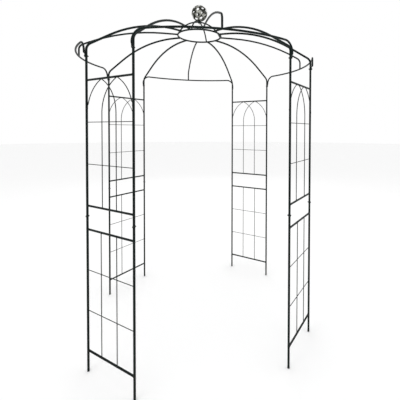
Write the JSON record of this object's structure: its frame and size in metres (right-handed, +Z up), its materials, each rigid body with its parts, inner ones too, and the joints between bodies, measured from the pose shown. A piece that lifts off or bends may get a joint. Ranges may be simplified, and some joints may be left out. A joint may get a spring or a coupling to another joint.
{
  "type": "garden arbour",
  "caption": "Round birdcage-shaped garden arbour of painted steel tube with lattice side panels, open doorways, a ribbed dome roof and an openwork ball on top",
  "frame": {"origin": "on the ground at the centre of the circle of eight posts", "axes": "+Z up; the front doorway faces -Y and +X is to the right of a person looking in through it"},
  "size_m": [2.0004, 2.0004, 2.7844],
  "materials": {
    "painted_steel": "satin powder coat, very dark green",
    "joint_hardware": "satin black",
    "zinc_hardware": "zinc plated",
    "ball_metal": "aged silver grey metal"
  },
  "bodies": {
    "root": {"crown_boss": "painted_steel", "crown_legs": "painted_steel", "crown_ring": "painted_steel", "finial_ball": "ball_metal", "finial_nuts": "zinc_hardware", "finial_stud": "zinc_hardware", "lintel_back": "painted_steel", "lintel_front": "painted_steel", "lintel_left": "painted_steel", "lintel_right": "painted_steel", "lower_lattice_back_left": "painted_steel", "lower_lattice_back_right": "painted_steel", "lower_lattice_front_left": "painted_steel", "lower_lattice_front_right": "painted_steel", "lower_post_back_left_back": "painted_steel", "lower_post_back_left_left": "painted_steel", "lower_post_back_right_back": "painted_steel", "lower_post_back_right_right": "painted_steel", "lower_post_front_left_front": "painted_steel", "lower_post_front_left_left": "painted_steel", "lower_post_front_right_front": "painted_steel", "lower_post_front_right_right": "painted_steel", "mid_rib_back": "painted_steel", "mid_rib_front": "painted_steel", "mid_rib_left": "painted_steel", "mid_rib_right": "painted_steel", "post_joint_bolts": "joint_hardware", "post_joint_nuts": "joint_hardware", "rib_back_left_back": "painted_steel", "rib_back_left_left": "painted_steel", "rib_back_right_back": "painted_steel", "rib_back_right_right": "painted_steel", "rib_front_left_front": "painted_steel", "rib_front_left_left": "painted_steel", "rib_front_right_front": "painted_steel", "rib_front_right_right": "painted_steel", "rib_joint_bolts": "joint_hardware", "rib_joint_nuts": "joint_hardware", "upper_lattice_back_left": "painted_steel", "upper_lattice_back_right": "painted_steel", "upper_lattice_front_left": "painted_steel", "upper_lattice_front_right": "painted_steel", "upper_post_back_left_back": "painted_steel", "upper_post_back_left_left": "painted_steel", "upper_post_back_right_back": "painted_steel", "upper_post_back_right_right": "painted_steel", "upper_post_front_left_front": "painted_steel", "upper_post_front_left_left": "painted_steel", "upper_post_front_right_front": "painted_steel", "upper_post_front_right_right": "painted_steel"}
  },
  "joints": []
}
